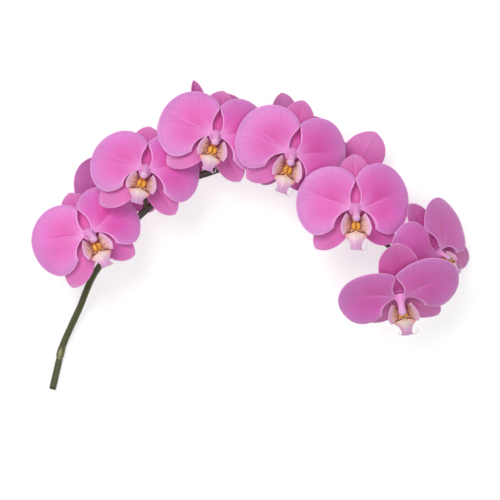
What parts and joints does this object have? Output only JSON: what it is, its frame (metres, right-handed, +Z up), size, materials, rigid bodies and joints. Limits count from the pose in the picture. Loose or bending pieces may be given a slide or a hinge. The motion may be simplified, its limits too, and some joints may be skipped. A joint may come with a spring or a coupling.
{
  "type": "moth orchid flower spray",
  "caption": "Cut spray of a pink moth orchid lying on its back: an arched green stem whose open blooms face up along it, with others behind.",
  "frame": {"origin": "on the surface the spray lies on, under the middle of its outline", "axes": "+Z up, out of the open faces of the front blooms; +X along the spray's length, from the cut end towards the nodding tip; +Y towards the crown of the arch"},
  "size_m": [0.3818, 0.2712, 0.0993],
  "materials": {
    "petal": "satin orchid pink with a paler rim",
    "sepal": "satin deep orchid pink",
    "lip": "satin cream pink with maroon lines",
    "callus": "waxy golden yellow",
    "stem": "smooth olive green"
  },
  "bodies": {
    "root": {"flower_stem": "stem", "bloom_1_sepals": "sepal", "bloom_1_petals": "petal", "bloom_1_lip": "lip", "bloom_1_callus": "callus", "bloom_2_sepals": "sepal", "bloom_2_petals": "petal", "bloom_2_lip": "lip", "bloom_2_callus": "callus", "bloom_3_sepals": "sepal", "bloom_3_petals": "petal", "bloom_3_lip": "lip", "bloom_3_callus": "callus", "bloom_4_sepals": "sepal", "bloom_4_petals": "petal", "bloom_4_lip": "lip", "bloom_4_callus": "callus", "bloom_5_sepals": "sepal", "bloom_5_petals": "petal", "bloom_5_lip": "lip", "bloom_5_callus": "callus", "bloom_6_sepals": "sepal", "bloom_6_petals": "petal", "bloom_6_lip": "lip", "bloom_6_callus": "callus", "bloom_7_sepals": "sepal", "bloom_7_petals": "petal", "bloom_7_lip": "lip", "bloom_7_callus": "callus", "bloom_8_sepals": "sepal", "bloom_8_petals": "petal", "bloom_8_lip": "lip", "bloom_8_callus": "callus", "bloom_9_sepals": "sepal", "bloom_9_petals": "petal", "bloom_9_lip": "lip", "bloom_9_callus": "callus", "bloom_10_sepals": "sepal", "bloom_10_petals": "petal", "bloom_10_lip": "lip", "bloom_10_callus": "callus", "bloom_11_sepals": "sepal", "bloom_11_petals": "petal", "bloom_11_lip": "lip", "bloom_11_callus": "callus"}
  },
  "joints": []
}
